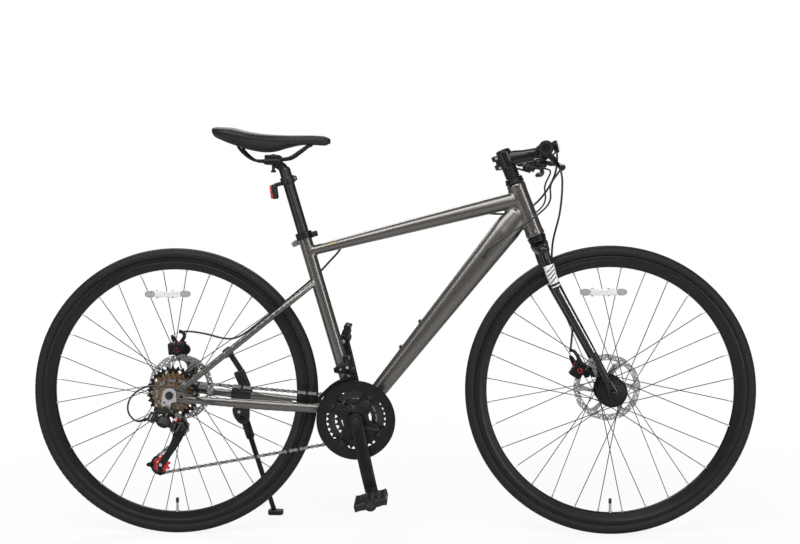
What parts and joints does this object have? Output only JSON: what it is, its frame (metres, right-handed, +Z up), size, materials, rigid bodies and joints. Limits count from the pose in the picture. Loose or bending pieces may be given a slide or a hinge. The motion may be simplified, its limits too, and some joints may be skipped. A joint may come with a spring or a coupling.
{
  "type": "touring bike",
  "caption": "Touring bicycle with straight bar, triple crank and guard ring, derailleur gears, cable disc brakes, side stand and padded saddle.",
  "frame": {"origin": "on the ground under the middle of the bicycle, halfway between the two wheels' outer edges", "axes": "+X forward along the bicycle, +Y to its left, +Z up"},
  "size_m": [1.7128, 0.6028, 0.9678],
  "materials": {
    "painted_frame": "gloss metallic grey",
    "black_paint": "gloss black",
    "black_alloy": "satin black anodised",
    "bright_steel": "bright",
    "dark_steel": "dark",
    "bronze_steel": "bronze-brown",
    "tyre_rubber": "matt black",
    "grip_rubber": "matt black",
    "black_plastic": "matt black",
    "red_plastic": "red",
    "saddle_cover": "satin black synthetic leather"
  },
  "bodies": {
    "frame": {"frame": "painted_frame", "headset_upper_cup": "black_alloy", "headset_lower_cup": "black_alloy", "bottom_bracket": "dark_steel", "seat_collar": "bright_steel", "front_derailleur": "dark_steel", "rear_caliper": "black_alloy", "rear_axle": "bright_steel", "kickstand_bracket": "black_plastic", "derailleur_hanger": "bright_steel", "derailleur_bracket": "dark_steel", "chain": "dark_steel", "rear_shift_housing": "grip_rubber", "rear_brake_housing": "grip_rubber", "shift_housing_right": "grip_rubber", "shift_housing_left": "grip_rubber", "brake_housing_right": "grip_rubber"},
    "steering": {"fork": "black_paint", "stem": "black_alloy", "handlebar": "black_alloy", "grip_left": "grip_rubber", "grip_right": "grip_rubber", "lever_mount_left": "black_plastic", "lever_mount_right": "black_plastic", "front_caliper": "black_alloy", "front_brake_housing": "grip_rubber", "front_axle": "bright_steel"},
    "front_wheel": {"front_hub": "black_alloy", "front_rim": "black_alloy", "front_tyre": "tyre_rubber", "front_rotor": "bright_steel"},
    "rear_wheel": {"rear_hub": "black_alloy", "rear_rim": "black_alloy", "rear_tyre": "tyre_rubber", "rear_rotor": "bright_steel"},
    "cassette": {"cassette": "bronze_steel"},
    "crank": {"chainrings": "dark_steel", "crank_right": "black_alloy", "crank_left": "black_alloy"},
    "pedal_right": {"pedal_right": "black_plastic"},
    "pedal_left": {"pedal_left": "black_plastic"},
    "seatpost": {"seatpost": "black_alloy", "saddle_rails": "bright_steel", "saddle": "saddle_cover", "rear_light": "black_plastic"},
    "seat_lever": {"seat_collar_lever": "bright_steel"},
    "front_cage": {"front_derailleur_cage": "dark_steel"},
    "front_caliper_arm": {"front_caliper_arm": "dark_steel"},
    "rear_caliper_arm": {"rear_caliper_arm": "dark_steel"},
    "brake_lever_right": {"brake_lever_right": "black_alloy"},
    "brake_lever_left": {"brake_lever_left": "black_alloy"},
    "shift_lever_right": {"shift_lever_right": "black_plastic"},
    "shift_lever_left": {"shift_lever_left": "black_plastic"},
    "front_axle_lever": {"front_axle_lever": "bright_steel"},
    "kickstand": {"kickstand_leg": "black_alloy"},
    "derailleur_link": {"derailleur_link": "dark_steel"},
    "derailleur_knuckle": {"derailleur_knuckle": "dark_steel"},
    "derailleur_cage": {"derailleur_cage": "dark_steel"},
    "upper_pulley": {"upper_pulley": "red_plastic"},
    "lower_pulley": {"lower_pulley": "red_plastic"}
  },
  "joints": [
    {"name": "steering", "type": "hinge", "parent": "frame", "child": "steering", "pos_m": [0.3199, 0, 0.76714], "axis": [-0.3584, 0, 0.9336], "range_deg": [-45, 45], "deforming": ["shift_housing_right", "shift_housing_left", "brake_housing_right"]},
    {"name": "front_wheel_spin", "type": "hinge", "parent": "steering", "child": "front_wheel", "pos_m": [0.5154, 0, 0.341], "axis": [0, 1, 0], "continuous": true},
    {"name": "rear_wheel_spin", "type": "hinge", "parent": "frame", "child": "rear_wheel", "pos_m": [-0.5154, 0, 0.341], "axis": [0, 1, 0], "continuous": true},
    {"name": "crank_spin", "type": "hinge", "parent": "frame", "child": "crank", "pos_m": [-0.0817, 0, 0.2817], "axis": [0, 1, 0], "continuous": true, "deforming": ["chain"]},
    {"name": "cassette_spin", "type": "hinge", "parent": "frame", "child": "cassette", "pos_m": [-0.5154, 0, 0.341], "axis": [0, 1, 0], "continuous": true},
    {"name": "pedal_right_spin", "type": "hinge", "parent": "crank", "child": "pedal_right", "pos_m": [-0.04375, -0.145, 0.11599], "axis": [0, 1, 0], "continuous": true},
    {"name": "pedal_left_spin", "type": "hinge", "parent": "crank", "child": "pedal_left", "pos_m": [-0.11965, 0.145, 0.44741], "axis": [0, 1, 0], "continuous": true},
    {"name": "seat_height", "type": "slide", "parent": "frame", "child": "seatpost", "axis": [-0.277, 0, 0.9609], "range_m": [-0.06, 0.06]},
    {"name": "seat_release", "type": "hinge", "parent": "frame", "child": "seat_lever", "pos_m": [-0.17987, 0.0205, 0.71434], "axis": [0.277, 0, -0.9609], "range_deg": [0, 150]},
    {"name": "front_shift", "type": "slide", "parent": "frame", "child": "front_cage", "axis": [0, -1, 0], "range_m": [0, 0.015]},
    {"name": "brake_lever_left_pull", "type": "hinge", "parent": "steering", "child": "brake_lever_left", "pos_m": [0.3688, 0.15398, 0.87722], "axis": [0.7477, 0.0892, 0.658], "range_deg": [0, 18], "stiffness_Nm_per_rad": 0.5},
    {"name": "brake_lever_right_pull", "type": "hinge", "parent": "steering", "child": "brake_lever_right", "pos_m": [0.3688, -0.15398, 0.87722], "axis": [-0.7477, 0.0892, -0.658], "range_deg": [0, 18], "stiffness_Nm_per_rad": 0.5},
    {"name": "front_brake", "type": "hinge", "parent": "steering", "child": "front_caliper_arm", "pos_m": [0.4494, 0.0563, 0.383], "axis": [0, 1, 0], "range_deg": [0, 23.4], "stiffness_Nm_per_rad": 0.3},
    {"name": "rear_brake", "type": "hinge", "parent": "frame", "child": "rear_caliper_arm", "pos_m": [-0.5234, 0.0735, 0.433], "axis": [0, 1, 0], "range_deg": [0, 23.4], "stiffness_Nm_per_rad": 0.3},
    {"name": "shift_lever_right_push", "type": "hinge", "parent": "steering", "child": "shift_lever_right", "pos_m": [0.33825, -0.128, 0.86442], "axis": [-0.3011, 0, -0.9536], "range_deg": [0, 30], "stiffness_Nm_per_rad": 0.2},
    {"name": "shift_lever_left_push", "type": "hinge", "parent": "steering", "child": "shift_lever_left", "pos_m": [0.33825, 0.128, 0.86442], "axis": [0.3011, 0, 0.9536], "range_deg": [0, 30], "stiffness_Nm_per_rad": 0.2},
    {"name": "front_axle_release", "type": "hinge", "parent": "steering", "child": "front_axle_lever", "pos_m": [0.5154, 0.0703, 0.341], "axis": [-0.8821, 0, 0.4711], "range_deg": [0, 150]},
    {"name": "kickstand_fold", "type": "hinge", "parent": "frame", "child": "kickstand", "pos_m": [-0.36707, 0.059, 0.26322], "axis": [0, 1, 0], "range_deg": [0, 90]},
    {"name": "rear_shift", "type": "hinge", "parent": "frame", "child": "derailleur_link", "pos_m": [-0.5494, -0.087, 0.291], "axis": [0.3516, 0.4802, 0.8036], "range_deg": [-6, 30]},
    {"name": "rear_shift_knuckle", "type": "hinge", "parent": "derailleur_link", "child": "derailleur_knuckle", "pos_m": [-0.5024, -0.086, 0.271], "axis": [0.3516, 0.4802, 0.8036], "range_deg": [-30, 6]},
    {"name": "cage_swing", "type": "hinge", "parent": "derailleur_knuckle", "child": "derailleur_cage", "pos_m": [-0.49, 0, 0.268], "axis": [0, 1, 0], "range_deg": [-20, 25], "stiffness_Nm_per_rad": 1},
    {"name": "upper_pulley_spin", "type": "hinge", "parent": "derailleur_cage", "child": "upper_pulley", "pos_m": [-0.49607, -0.0565, 0.26462], "axis": [0, 1, 0], "continuous": true},
    {"name": "lower_pulley_spin", "type": "hinge", "parent": "derailleur_cage", "child": "lower_pulley", "pos_m": [-0.5403, -0.0565, 0.17671], "axis": [0, 1, 0], "continuous": true}
  ],
  "couplings": [
    {"joint": "cassette_spin", "follows": "crank_spin", "ratio": 1.5},
    {"joint": "upper_pulley_spin", "follows": "crank_spin", "ratio": -2.4},
    {"joint": "lower_pulley_spin", "follows": "crank_spin", "ratio": 2.4},
    {"joint": "front_brake", "follows": "brake_lever_left_pull", "ratio": 1.3},
    {"joint": "rear_brake", "follows": "brake_lever_right_pull", "ratio": 1.3},
    {"joint": "rear_shift_knuckle", "follows": "rear_shift", "ratio": -1}
  ]
}
